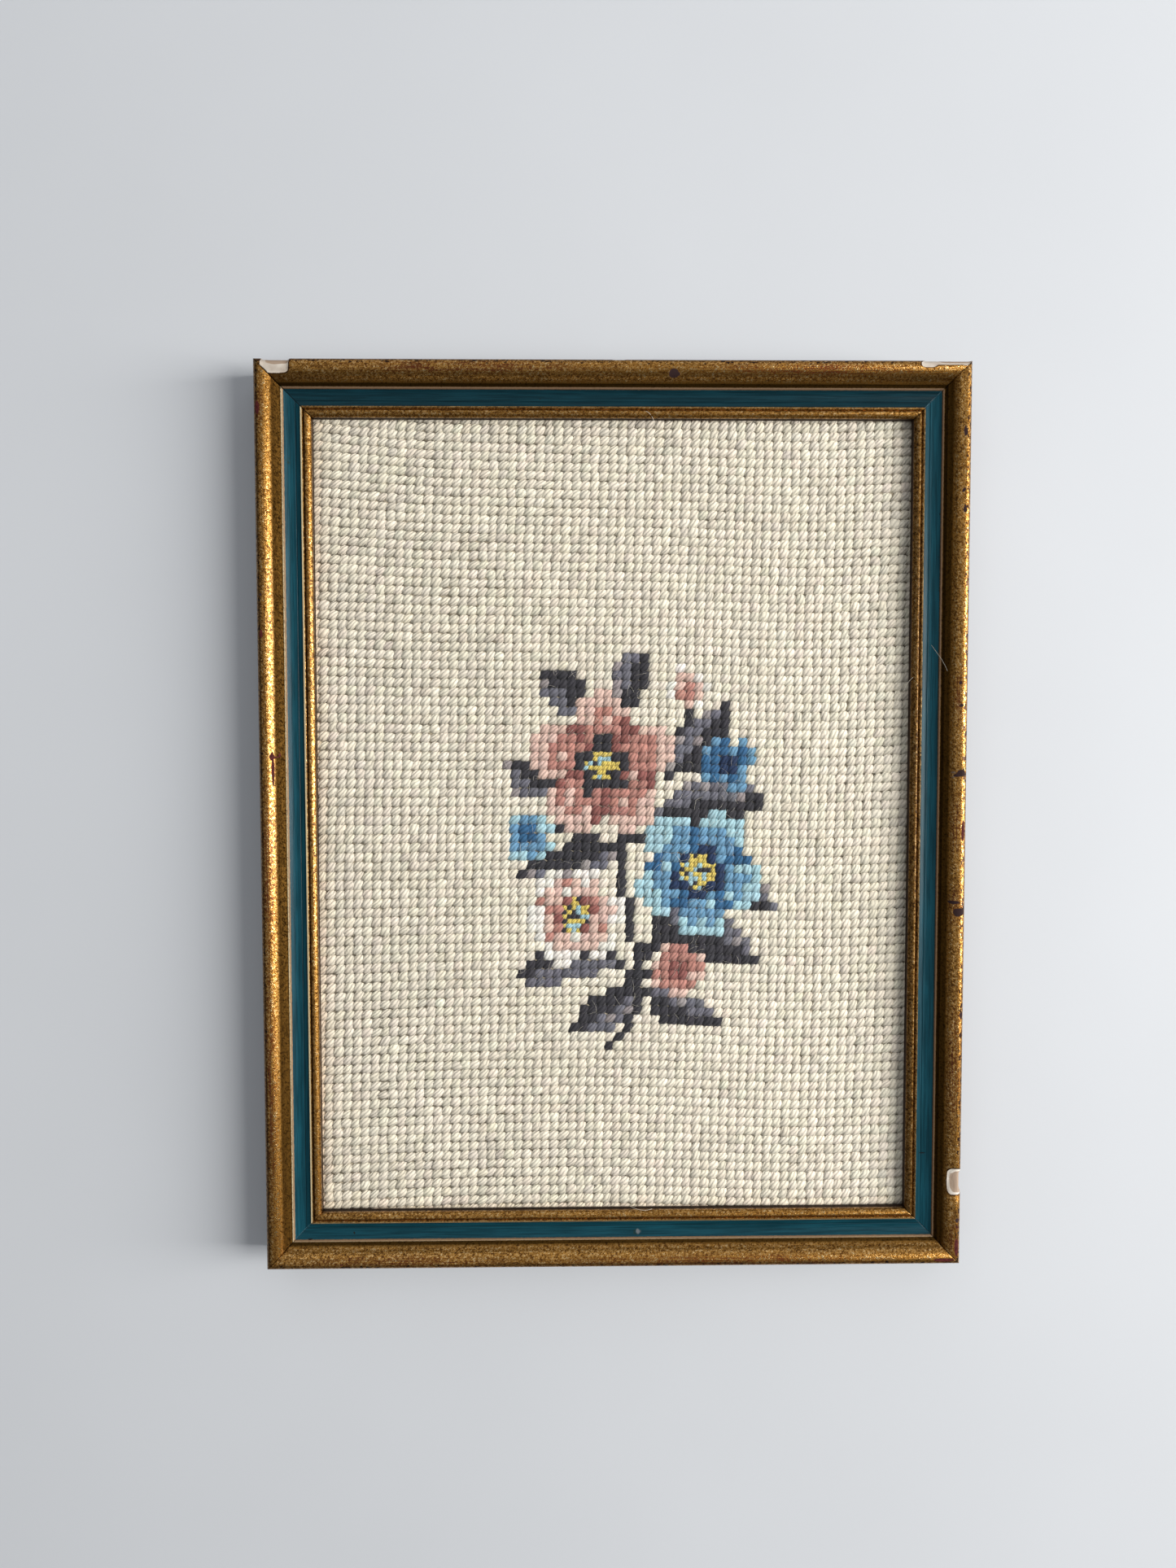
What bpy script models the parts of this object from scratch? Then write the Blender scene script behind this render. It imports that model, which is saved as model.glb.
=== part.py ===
"""Framed needlepoint picture: a worked canvas in a small gilded frame, lying on its back.

Metres, +Z out of the picture's face, +Y towards the picture's top, +X to its right.
The origin is the middle of the back, level with the surface that the frame lies on.
"""

import math

import bmesh
import bpy

# Driving dimensions of the whole picture
FRAME_WIDTH = 0.1938
FRAME_HEIGHT = 0.2496
RAIL_WIDTH = 0.0148
FIT_GAP = 0.0003

# Moulding, outer part: a roll with its crest near the outside, a cove and a fillet
ROLL_CREST = 0.0015
ROLL_TOP = 0.0163
ROLL_OUTER_DROP = 0.0021
ROLL_INNER_RADII = (0.0040, 0.0039)
ROLL_END = 0.0047
COVE_END = 0.00675
COVE_FOOT = 0.0129
OUTER_FILLET_END = 0.0073
OUTER_FILLET_TOP = 0.0130

# Moulding, painted hollow between the two fillets, with a scratched groove
HOLLOW_START = 0.00745
HOLLOW_END = 0.01185
HOLLOW_RIMS = (0.01270, 0.01240)
HOLLOW_SAG = 0.0006
GROOVE_PLACE = 0.0105
GROOVE_WIDTH = 0.0003
GROOVE_DEPTH = 0.0002

# Moulding, inner part: a fillet, a quirk and the bead that falls to the sight edge
INNER_FILLET_START = 0.0119
INNER_FILLET_END = 0.01245
INNER_FILLET_TOP = 0.0127
QUIRK_END = 0.0128
QUIRK_FOOT = 0.0121
BEAD_CREST = 0.0132
BEAD_TOP = 0.0129
BEAD_INNER_RADII = (0.0017, 0.0013)

# Moulding, back part: the rebate that holds the canvas
REBATE_CEILING = 0.0094
REBATE_WIDTH = 0.0063
BACK_EDGE_BEVEL = 0.0005

# Needlepoint: canvas and wool together, held under the rebate's ceiling
CLOTH_THICKNESS = 0.0026
CLOTH_CROWN = 0.0006
CLOTH_WAVE = 0.00012
CLOTH_COLUMNS = 22
CLOTH_ROWS = 28

# Steps in each rounded stretch of the moulding
ROLL_OUTER_STEPS = 6
ROLL_INNER_STEPS = 7
COVE_STEPS = 5
HOLLOW_STEPS = 8
BEAD_OUTER_STEPS = 3
BEAD_INNER_STEPS = 6

# Edges that turn by more degrees than this are shaded as corners
CORNER_ANGLE = 40

SIGHT_WIDTH = FRAME_WIDTH - 2 * RAIL_WIDTH
SIGHT_HEIGHT = FRAME_HEIGHT - 2 * RAIL_WIDTH
CLOTH_WIDTH = SIGHT_WIDTH + 2 * (REBATE_WIDTH - FIT_GAP)
CLOTH_HEIGHT = SIGHT_HEIGHT + 2 * (REBATE_WIDTH - FIT_GAP)

GILT = "gilt"
PAINT = "blue_green_paint"
BARE_WOOD = "bare_wood"


def clear_scene():
    """Removes every object that the file opened with."""
    for obj in list(bpy.data.objects):
        bpy.data.objects.remove(obj, do_unlink=True)


def make_material(name, colour, roughness, metallic=0.0):
    """A Principled material with one colour, roughness and metallic value."""
    material = bpy.data.materials.new(name)
    material.use_nodes = True
    shader = material.node_tree.nodes["Principled BSDF"]
    shader.inputs["Base Color"].default_value = (*colour, 1.0)
    shader.inputs["Roughness"].default_value = roughness
    shader.inputs["Metallic"].default_value = metallic
    material.diffuse_color = (*colour, 1.0)
    return material


def ellipse_points(centre, radii, start_degrees, end_degrees, steps):
    """Points on an upright ellipse from one angle to another, both ends included."""
    points = []
    for step in range(steps + 1):
        angle = math.radians(start_degrees + (end_degrees - start_degrees) * step / steps)
        points.append((centre[0] + radii[0] * math.cos(angle), centre[1] + radii[1] * math.sin(angle)))
    return points


def rounded(crest, top, outer_radii, inner_radii, end, steps):
    """Two ellipse arcs that meet level at a crest: a quarter outside it, and part of a wider one inside it."""
    outer = ellipse_points((crest, top - outer_radii[1]), outer_radii, 180, 90, steps[0])
    at_end = math.degrees(math.acos((end - crest) / inner_radii[0]))
    inner = ellipse_points((crest, top - inner_radii[1]), inner_radii, 90, at_end, steps[1])
    return outer + inner[1:]


def roll_points():
    """The outer roll, from the frame's side over its crest and down to the cove."""
    outer_radii = (ROLL_CREST, ROLL_OUTER_DROP)
    steps = (ROLL_OUTER_STEPS, ROLL_INNER_STEPS)
    return rounded(ROLL_CREST, ROLL_TOP, outer_radii, ROLL_INNER_RADII, ROLL_END, steps)


def cove_points(start):
    """The cove: a parabola that leaves the roll at the roll's own slope and reaches its foot at the cove's end."""
    part = (ROLL_END - ROLL_CREST) / ROLL_INNER_RADII[0]
    slope = -ROLL_INNER_RADII[1] / ROLL_INNER_RADII[0] * part / math.sqrt(1 - part * part)
    run = COVE_END - ROLL_END
    bend = (COVE_FOOT - start[1] - slope * run) / run**2
    places = [run * step / COVE_STEPS for step in range(1, COVE_STEPS + 1)]
    return [(ROLL_END + place, start[1] + slope * place + bend * place**2) for place in places]


def gilt_outer_points():
    """Roll, cove and outer fillet, from the frame's side to the painted hollow."""
    roll = roll_points()
    fillet = [(COVE_END, OUTER_FILLET_TOP), (OUTER_FILLET_END, OUTER_FILLET_TOP)]
    return roll + cove_points(roll[-1]) + fillet


def hollow_height(across):
    """Height of the painted hollow: the line between its rims, less a parabola's sag."""
    part = (across - HOLLOW_START) / (HOLLOW_END - HOLLOW_START)
    rim = HOLLOW_RIMS[0] + (HOLLOW_RIMS[1] - HOLLOW_RIMS[0]) * part
    return rim - 4 * HOLLOW_SAG * part * (1 - part)


def painted_points():
    """The blue-green hollow, with its scratched groove as a small notch."""
    step_width = (HOLLOW_END - HOLLOW_START) / HOLLOW_STEPS
    even = [HOLLOW_START + step_width * step for step in range(HOLLOW_STEPS + 1)]
    clear = [across for across in even if abs(across - GROOVE_PLACE) > GROOVE_WIDTH]
    notch = [(GROOVE_PLACE + side * GROOVE_WIDTH / 2, 0.0) for side in (-1, 1)]
    places = [(across, 0.0) for across in clear] + notch + [(GROOVE_PLACE, GROOVE_DEPTH)]
    return [(across, hollow_height(across) - depth) for across, depth in sorted(places)]


def gilt_inner_points():
    """Inner fillet, quirk and bead, from the painted hollow to the sight edge."""
    fillet = [(INNER_FILLET_START, INNER_FILLET_TOP), (INNER_FILLET_END, INNER_FILLET_TOP)]
    outer_radii = (BEAD_CREST - QUIRK_END, BEAD_TOP - QUIRK_FOOT)
    steps = (BEAD_OUTER_STEPS, BEAD_INNER_STEPS)
    return fillet + rounded(BEAD_CREST, BEAD_TOP, outer_radii, BEAD_INNER_RADII, RAIL_WIDTH, steps)


def wood_points():
    """Lip, rebate, back and outer side, from the sight edge round to the roll."""
    leg = RAIL_WIDTH - REBATE_WIDTH
    return [
        (RAIL_WIDTH, REBATE_CEILING),
        (leg, REBATE_CEILING),
        (leg, 0.0),
        (BACK_EDGE_BEVEL, 0.0),
        (0.0, BACK_EDGE_BEVEL),
    ]


def moulding_profile():
    """The closed section of the rail: (across, height, finish of the face that starts there)."""
    stretches = (
        (gilt_outer_points(), GILT),
        (painted_points(), PAINT),
        (gilt_inner_points(), GILT),
        (wood_points(), BARE_WOOD),
    )
    return [(across, height, finish) for points, finish in stretches for across, height in points]


def mitred_rail(name, length, turn_degrees, centre, finishes):
    """One rail: the section carried along the rail, with both ends cut back to a 45 degree mitre."""
    profile = moulding_profile()
    mitre_setback = FIT_GAP / 2 * math.sqrt(2)
    mesh = bmesh.new()
    rings = []
    for side in (-1, 1):
        ring = []
        for across, height, _ in profile:
            along = side * (length / 2 - across - mitre_setback)
            ring.append(mesh.verts.new((along, across, height)))
        rings.append(ring)
    finish_names = list(finishes)
    count = len(profile)
    for index in range(count):
        after = (index + 1) % count
        face = mesh.faces.new((rings[0][index], rings[1][index], rings[1][after], rings[0][after]))
        face.material_index = finish_names.index(profile[index][2])
        face.smooth = profile[index][2] != BARE_WOOD
    for ring in rings:
        cap = mesh.faces.new(ring)
        cap.material_index = finish_names.index(BARE_WOOD)
    bmesh.ops.recalc_face_normals(mesh, faces=mesh.faces)
    data = bpy.data.meshes.new(name)
    mesh.to_mesh(data)
    mesh.free()
    for finish in finish_names:
        data.materials.append(finishes[finish])
    data.set_sharp_from_angle(angle=math.radians(CORNER_ANGLE))
    rail = bpy.data.objects.new(name, data)
    rail.rotation_euler.z = math.radians(turn_degrees)
    rail.location = (*centre, 0.0)
    bpy.context.scene.collection.objects.link(rail)
    return rail


def cloth_rise(x, y):
    """How far the worked canvas stands above its level in the rebate: a soft crown with a slow wave."""
    across = min(abs(x) / (SIGHT_WIDTH / 2), 1.0)
    along = min(abs(y) / (SIGHT_HEIGHT / 2), 1.0)
    inside = (1 - across**4) * (1 - along**4)
    wave = math.sin(2 * math.pi * (x / SIGHT_WIDTH * 1.5 + 0.1)) * math.sin(2 * math.pi * y / SIGHT_HEIGHT * 2)
    return inside * (CLOTH_CROWN + CLOTH_WAVE * wave)


def grid_places(sight, cloth, steps):
    """Grid lines across the cloth: its edge in the rebate, then even steps over the sight."""
    lines = [-sight / 2 + sight * step / steps for step in range(steps + 1)]
    return [-cloth / 2] + lines + [cloth / 2]


def rim_of(layer):
    """The vertices round a grid's edge, anticlockwise from its first corner."""
    right = [row[-1] for row in layer[1:]]
    left = [row[0] for row in layer[-2:0:-1]]
    return layer[0] + right + layer[-1][-2::-1] + left


def needlepoint(material):
    """The worked canvas as one sheet of even thickness, stretched flat with a low crown."""
    top_level = REBATE_CEILING - FIT_GAP
    columns = grid_places(SIGHT_WIDTH, CLOTH_WIDTH, CLOTH_COLUMNS)
    rows = grid_places(SIGHT_HEIGHT, CLOTH_HEIGHT, CLOTH_ROWS)
    mesh = bmesh.new()
    layers = []
    for level in (top_level, top_level - CLOTH_THICKNESS):
        layers.append([[mesh.verts.new((x, y, level + cloth_rise(x, y))) for x in columns] for y in rows])
    top, bottom = layers
    for row in range(len(rows) - 1):
        for column in range(len(columns) - 1):
            for layer in layers:
                corners = (
                    layer[row][column],
                    layer[row][column + 1],
                    layer[row + 1][column + 1],
                    layer[row + 1][column],
                )
                mesh.faces.new(corners if layer is top else corners[::-1])
    rim_top = rim_of(top)
    rim_bottom = rim_of(bottom)
    for index in range(len(rim_top)):
        after = (index + 1) % len(rim_top)
        mesh.faces.new((rim_top[index], rim_bottom[index], rim_bottom[after], rim_top[after]))
    bmesh.ops.recalc_face_normals(mesh, faces=mesh.faces)
    data = bpy.data.meshes.new("needlepoint")
    mesh.to_mesh(data)
    mesh.free()
    data.materials.append(material)
    data.shade_smooth()
    data.set_sharp_from_angle(angle=math.radians(CORNER_ANGLE))
    cloth = bpy.data.objects.new("needlepoint", data)
    bpy.context.scene.collection.objects.link(cloth)
    return cloth


def build():
    """Makes the four rails and the needlepoint, carried by one empty at the origin."""
    clear_scene()
    finishes = {
        GILT: make_material(GILT, (0.45, 0.27, 0.08), 0.38, metallic=0.75),
        PAINT: make_material(PAINT, (0.012, 0.075, 0.105), 0.35),
        BARE_WOOD: make_material(BARE_WOOD, (0.22, 0.12, 0.06), 0.7),
    }
    wool = make_material("cream_wool", (0.72, 0.64, 0.47), 0.9)
    carrier = bpy.data.objects.new("framed_needlepoint", None)
    bpy.context.scene.collection.objects.link(carrier)
    rails = (
        ("bottom_rail", FRAME_WIDTH, 0, (0.0, -FRAME_HEIGHT / 2)),
        ("right_rail", FRAME_HEIGHT, 90, (FRAME_WIDTH / 2, 0.0)),
        ("top_rail", FRAME_WIDTH, 180, (0.0, FRAME_HEIGHT / 2)),
        ("left_rail", FRAME_HEIGHT, 270, (-FRAME_WIDTH / 2, 0.0)),
    )
    for name, length, turn_degrees, centre in rails:
        mitred_rail(name, length, turn_degrees, centre, finishes).parent = carrier
    needlepoint(wool).parent = carrier


build()
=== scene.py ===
"""Dresses the framed needlepoint: gilded and painted rails, the stretched canvas and its wool stitches.

Lengths in the tables are millimetres, measured from the middle of the picture's back.
+X is the picture's right, +Y its top, and +Z points out of its face.
"""

import math

import bpy
import numpy as np
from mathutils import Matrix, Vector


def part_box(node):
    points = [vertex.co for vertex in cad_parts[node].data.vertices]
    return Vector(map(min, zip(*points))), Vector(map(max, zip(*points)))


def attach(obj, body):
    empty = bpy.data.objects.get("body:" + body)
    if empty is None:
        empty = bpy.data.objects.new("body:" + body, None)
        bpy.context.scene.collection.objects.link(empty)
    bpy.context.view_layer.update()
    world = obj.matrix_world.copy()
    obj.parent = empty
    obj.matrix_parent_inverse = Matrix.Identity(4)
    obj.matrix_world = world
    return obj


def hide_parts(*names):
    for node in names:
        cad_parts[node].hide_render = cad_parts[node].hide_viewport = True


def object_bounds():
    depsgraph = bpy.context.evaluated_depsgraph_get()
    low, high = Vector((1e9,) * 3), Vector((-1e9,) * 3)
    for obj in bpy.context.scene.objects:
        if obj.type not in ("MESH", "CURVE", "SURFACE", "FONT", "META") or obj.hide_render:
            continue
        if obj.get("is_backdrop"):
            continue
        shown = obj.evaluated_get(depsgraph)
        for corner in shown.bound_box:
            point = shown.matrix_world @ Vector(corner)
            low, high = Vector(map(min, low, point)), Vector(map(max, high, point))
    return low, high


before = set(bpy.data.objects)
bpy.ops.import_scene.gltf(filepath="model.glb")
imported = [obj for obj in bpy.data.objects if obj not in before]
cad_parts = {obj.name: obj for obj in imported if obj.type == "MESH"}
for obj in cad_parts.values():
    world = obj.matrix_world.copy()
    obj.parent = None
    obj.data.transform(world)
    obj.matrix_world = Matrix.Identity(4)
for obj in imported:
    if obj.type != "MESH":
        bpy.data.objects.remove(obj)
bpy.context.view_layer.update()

MM = 0.001
FRAME_LOW, FRAME_HIGH = (np.array(corner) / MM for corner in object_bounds())
FRAME_SIZE = FRAME_HIGH - FRAME_LOW
CLOTH_LOW, CLOTH_HIGH = (np.array(corner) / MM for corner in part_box("needlepoint"))
CLOTH_SIZE = CLOTH_HIGH - CLOTH_LOW

# Moulding section, the same drawing as the solid rails
RAIL_WIDTH = 14.8
ROLL_CREST, ROLL_END = 1.5, 4.7
ROLL_TOP = 16.3
ROLL_OUTER_DROP = 2.1
ROLL_INNER_RADII = (4.0, 3.9)
COVE_END, COVE_FOOT = 6.75, 12.9
OUTER_FILLET_END, OUTER_FILLET_TOP = 7.3, 13.0
HOLLOW_START, HOLLOW_END = 7.45, 11.85
HOLLOW_RIMS = (12.70, 12.40)
HOLLOW_SAG = 0.6
GROOVE_PLACE, GROOVE_WIDTH, GROOVE_DEPTH = 10.5, 0.3, 0.2
INNER_FILLET, INNER_FILLET_TOP = (11.9, 12.45), 12.7
QUIRK_END, QUIRK_FOOT = 12.8, 12.1
BEAD_CREST, BEAD_TOP = 13.2, 12.9
BEAD_INNER_RADII = (1.7, 1.3)
REBATE_CEILING, REBATE_WIDTH = 9.4, 6.3
BACK_EDGE_BEVEL = 0.5
MITRE_GAP = 0.04
ARRIS_SOFTNESS = 0.05
# Steps in which the section is drawn, then sampled on its face, elsewhere and close to its corners
DRAWN_STEP, FACE_STEP, HIDDEN_STEP = 0.01, 0.24, 1.6
CORNER_DENSITY, CORNER_REACH = 9, 0.12
# Stations along a rail: the usual distance and the one beside worn places and mitres
STATION_STEP, CLOSE_STEP = 4.0, 0.3
# How far one rail's pattern lies from the next one's
PATTERN_SHIFT = 400.0

# Canvas and wool
SIGHT = FRAME_SIZE[:2] - 2 * RAIL_WIDTH
CLOTH_TOP = 9.1
CLOTH_CROWN = 0.6
CLOTH_WAVE = 0.12
WOOL_HEIGHT = 1.5
CANVAS_TOP = CLOTH_TOP - WOOL_HEIGHT + 0.55
CANVAS_UNDERSIDE = 6.5
STITCH_PITCH = np.array([2.54, 2.53])
STITCH_COLUMNS, STITCH_ROWS = 37, 49
# A stitch's half length, half width, half height and rise, each with its spread as a part of it
HALF_LENGTH, HALF_WIDTH, HALF_HEIGHT, RISE = (1.535, 0.05), (1.50, 0.06), (0.62, 0.06), (0.42, 0.14)
STITCH_FOOT = CLOTH_TOP - WOOL_HEIGHT + 0.28
SMALL_STITCH = 0.55
# How far the stitches go on under the rails
HIDDEN_MARGIN = 1.6
HAIRS, HAIR_HALF = 1500, 0.02

rng = np.random.default_rng(417)


def mesh_piece(name, points, faces, finish, attributes):
    """One smooth mesh object from points in millimetres and blocks of faces as rows of indices."""
    mesh = bpy.data.meshes.new(name)
    faces = [np.asarray(block, np.int32) for block in faces]
    loops = np.concatenate([block.ravel() for block in faces])
    sizes = np.concatenate([np.full(len(block), block.shape[1], np.int32) for block in faces])
    starts = np.concatenate([[0], np.cumsum(sizes)[:-1]]).astype(np.int32)
    mesh.vertices.add(len(points))
    mesh.vertices.foreach_set("co", (np.asarray(points) * MM).astype(np.float32).ravel())
    mesh.loops.add(len(loops))
    mesh.loops.foreach_set("vertex_index", loops)
    mesh.polygons.add(len(sizes))
    mesh.polygons.foreach_set("loop_start", starts)
    mesh.polygons.foreach_set("use_smooth", np.full(len(sizes), True))
    mesh.update(calc_edges=True)
    for label, values in attributes.items():
        values = np.asarray(values, np.float32)
        kind = "FLOAT" if values.ndim == 1 else "FLOAT_COLOR"
        layer = mesh.attributes.new(label, kind, "POINT")
        layer.data.foreach_set("value" if values.ndim == 1 else "color", values.ravel())
    mesh.validate()
    mesh.materials.append(finish)
    piece = bpy.data.objects.new(name, mesh)
    bpy.context.scene.collection.objects.link(piece)
    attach(piece, "root")
    return piece


def outward(points, blocks):
    """The same faces, turned over if the volume that they close comes out negative."""
    volume = 0.0
    for block in blocks:
        corners = points[np.asarray(block)]
        for last in range(2, corners.shape[1]):
            turn = np.cross(corners[:, last - 1], corners[:, last])
            volume += np.einsum("ij,ij->", corners[:, 0], turn)
    return [np.asarray(block)[:, ::-1] for block in blocks] if volume < 0 else blocks


def tube_faces(points, count, steps, sides):
    """The quads round each of the tubes and a face on both its ends, turned outward."""
    index = np.arange(count * steps * sides).reshape(count, steps, sides)
    after = np.roll(index, -1, axis=2)
    wall = np.stack([index[:, :-1], after[:, :-1], after[:, 1:], index[:, 1:]], axis=3).reshape(-1, 4)
    blocks = [wall, index[:, 0, ::-1], index[:, -1]]
    first = [wall[: (steps - 1) * sides], blocks[1][:1], blocks[2][:1]]
    if outward(points, first) is first:
        return blocks
    return [block[:, ::-1] for block in blocks]


def cubic_curve(controls, steps):
    """Places along the cubic curve on four control points."""
    part = np.linspace(0, 1, steps)[:, None]
    weights = ((1 - part) ** 3, 3 * part * (1 - part) ** 2, 3 * part**2 * (1 - part), part**3)
    return sum(weight * np.array(control) for weight, control in zip(weights, controls))


def smooth_step(value, low, high):
    """Rises from 0 at low to 1 at high as three times the square less twice the cube."""
    part = np.clip((value - low) / (high - low), 0, 1)
    return part * part * (3 - 2 * part)


def arc(centre, radii, start, end, steps=60):
    """Points on an upright ellipse: centre plus radii times the cosine and sine of the angle."""
    angle = np.radians(np.linspace(start, end, steps))
    circle = np.stack([np.cos(angle), np.sin(angle)], axis=1)
    return np.array(centre) + np.array(radii) * circle


def rounded(crest, top, outer_radii, inner_radii, end):
    """Two ellipse arcs that meet level at a crest: a quarter outside it, part of a wider one inside."""
    outer = arc((crest, top - outer_radii[1]), outer_radii, 180, 90)
    at_end = math.degrees(math.acos((end - crest) / inner_radii[0]))
    inner = arc((crest, top - inner_radii[1]), inner_radii, 90, at_end)
    return np.concatenate([outer, inner[1:]])


def section_outline():
    """Corner points of the moulding, once round from the rebate's inner corner.

    Ellipse arcs make the roll and bead, and the cove is a parabola that leaves the roll at the roll's
    slope. The hollow is the line between its rims less the parabola 4 * sag * p * (1 - p), with a
    V-shaped groove scratched in it.
    """
    roll = rounded(ROLL_CREST, ROLL_TOP, (ROLL_CREST, ROLL_OUTER_DROP), ROLL_INNER_RADII, ROLL_END)
    part = (ROLL_END - ROLL_CREST) / ROLL_INNER_RADII[0]
    slope = -ROLL_INNER_RADII[1] / ROLL_INNER_RADII[0] * part / math.sqrt(1 - part * part)
    run = COVE_END - ROLL_END
    place = np.linspace(0, run, 30)[1:]
    bend = (COVE_FOOT - roll[-1, 1] - slope * run) / run**2
    cove = np.stack([ROLL_END + place, roll[-1, 1] + slope * place + bend * place**2], axis=1)
    across = np.linspace(HOLLOW_START, HOLLOW_END, 80)
    part = (across - HOLLOW_START) / (HOLLOW_END - HOLLOW_START)
    hollow = HOLLOW_RIMS[0] + (HOLLOW_RIMS[1] - HOLLOW_RIMS[0]) * part
    hollow -= 4 * HOLLOW_SAG * part * (1 - part)
    hollow -= np.clip(1 - np.abs(across - GROOVE_PLACE) / (GROOVE_WIDTH / 2), 0, 1) * GROOVE_DEPTH
    bead_outer = (BEAD_CREST - QUIRK_END, BEAD_TOP - QUIRK_FOOT)
    bead = rounded(BEAD_CREST, BEAD_TOP, bead_outer, BEAD_INNER_RADII, RAIL_WIDTH)
    leg = RAIL_WIDTH - REBATE_WIDTH
    return {
        "rebate": np.array([(leg, REBATE_CEILING), (leg, 0.0)]),
        "back": np.array([(BACK_EDGE_BEVEL, 0.0), (0.0, BACK_EDGE_BEVEL)]),
        "roll": roll,
        "cove": cove,
        "outer_fillet": np.array([(place, OUTER_FILLET_TOP) for place in (COVE_END, OUTER_FILLET_END)]),
        "hollow": np.stack([across, hollow], axis=1),
        "inner_fillet": np.array([(place, INNER_FILLET_TOP) for place in INNER_FILLET]),
        "bead": bead,
        "lip": np.array([(RAIL_WIDTH, REBATE_CEILING), (leg + 0.05, REBATE_CEILING)]),
    }


def section_samples():
    """(points, arc length, marks) of the section, softened at its arrises.

    The outline is cut into fine steps, each point becomes the mean of its neighbours under a bell
    curve, and samples are taken so that their number in a stretch is the integral of the density.
    """
    outline = section_outline()
    corners = np.concatenate(list(outline.values()))
    lengths = np.linalg.norm(np.diff(corners, axis=0), axis=1)
    place = np.concatenate([[0], np.cumsum(lengths)])
    firsts = np.cumsum([0] + [len(points) for points in outline.values()])
    marks = {name: (place[a], place[b - 1]) for name, a, b in zip(outline, firsts[:-1], firsts[1:])}
    fine = np.arange(0, place[-1], DRAWN_STEP)
    line = np.stack([np.interp(fine, place, corners[:, axis]) for axis in (0, 1)], axis=1)
    reach = int(4 * ARRIS_SOFTNESS / DRAWN_STEP)
    bell = np.exp(-0.5 * (np.arange(-reach, reach + 1) * DRAWN_STEP / ARRIS_SOFTNESS) ** 2)
    bell /= bell.sum()
    padded = np.concatenate([np.repeat(line[:1], reach, 0), line, np.repeat(line[-1:], reach, 0)])
    soft = np.stack([np.convolve(padded[:, axis], bell, "valid") for axis in (0, 1)], axis=1)
    on_face = (fine > marks["roll"][0] - 0.6) & (fine < marks["lip"][0] + 0.2)
    density = np.where(on_face, 1 / FACE_STEP, 1 / HIDDEN_STEP)
    turning = [marks[name][side] for name in outline for side in (0, 1)]
    turning.append(marks["hollow"][0] + GROOVE_PLACE - HOLLOW_START)
    for corner in turning:
        density += CORNER_DENSITY * np.exp(-((fine - corner) ** 2) / (2 * CORNER_REACH**2))
    total = np.concatenate([[0], np.cumsum(density[:-1] * DRAWN_STEP)])
    wanted = np.linspace(0, total[-1], int(total[-1]))
    chosen = np.interp(wanted, total, fine)
    points = np.stack([np.interp(chosen, fine, soft[:, axis]) for axis in (0, 1)], axis=1)
    return points, chosen, marks


SECTION, SECTION_PLACE, SECTION_MARKS = section_samples()

# Each rail's rubbing of the outer fillet, which also sets painted light and shade on its fillets, roll
# and groove, painted shade with some dust on its outer side and paint, the painted light on its
# gilding, how far from the cove the cove's dirt and painted shade start, its pitting, and the painted
# shade on its bead
WEAR_KINDS = ("rubbing_and_light", "shade_and_dust", "gilding_light", "dirt_and_shade_from", "pitting", "bead")
RAIL_WEAR = {
    "left_rail": (1.0, 0.0, 0.75, -0.7, -0.3, 0.86),
    "right_rail": (0.1, 0.0, 0.95, -0.4, 1.0, 0.38),
    "top_rail": (0.2, 1.0, 0.87, 1.1, 0.0, 0.72),
    "bottom_rail": (0.5, 0.3, 0.90, 1.2, 0.0, 0.96),
}


def worn_places(**rails):
    """(rail, middle, half sizes, depth, squareness) of each worn place, from rows of plain numbers.

    A row holds the middle's x, y and z, the half sizes along them, then the depth and the squareness,
    which are 0 and 2 where the row leaves them out.
    """
    usual = (0, 2)
    return [
        (rail, row[:3], row[3:6], *row[6:], *usual[len(row) - 6 :])
        for rail, rows in rails.items()
        for row in rows
    ]


CHIP_TEAR = 0.4
GESSO_CHIPS = worn_places(
    top_rail=(
        (-90.9, 123.5, 15.2, 3.8, 2.75, 2.8, 0.34, 4.5), (84.9, 123.6, 15.8, 2.2, 0.95, 2.4, 0.16, 3),
        (90, 124.4, 15.4, 6.4, 1.1, 2, 0.16, 4), (95.2, 124, 15.8, 1.9, 0.85, 2.2, 0.14, 3),
        (1.2, 124.9, 14.6, 2, 0.6, 1.2, 0.15, 3),
    ),
    right_rail=((95, -101, 15, 2.15, 3.7, 2.6, 0.30, 4),),
)
WOOD_CORES = worn_places(
    right_rail=((95.6, -101.1, 15.2, 2.15, 2.95, 2.9, 0.16, 3.6),),
    top_rail=(
        (-90.2, 124.1, 15.6, 3.2, 1.15, 2.6, 0.08, 3),
        (92.2, 124.5, 15.4, 4.6, 0.75, 2.2, 0.02, 3),
    ),
)
THIN_GILDING = worn_places(
    right_rail=(
        (93.9, -1.5, 15.6, 1.3, 7.5, 2), (94.4, 34.5, 15.5, 1.3, 6.5, 2),
        (94, -24, 15.5, 2.2, 5, 2), (94.2, -70, 15.5, 1.6, 16, 2),
        (95, -118, 15, 1.6, 7, 2),
    ),
    left_rail=(
        (-94.6, -14, 15.5, 1.8, 22, 2.2), (-95.6, 113.5, 15, 1.4, 6, 2.2),
        (-95, -70, 15.3, 1.5, 30, 2.2),
    ),
    top_rail=((-40, 122.5, 15.8, 30, 1.6, 2), (55, 122, 15.8, 24, 1.6, 2)),
    bottom_rail=((30, -123.2, 15.5, 40, 1.6, 2.2), (-60, -122.6, 15.5, 24, 1.4, 2.2)),
)
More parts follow.
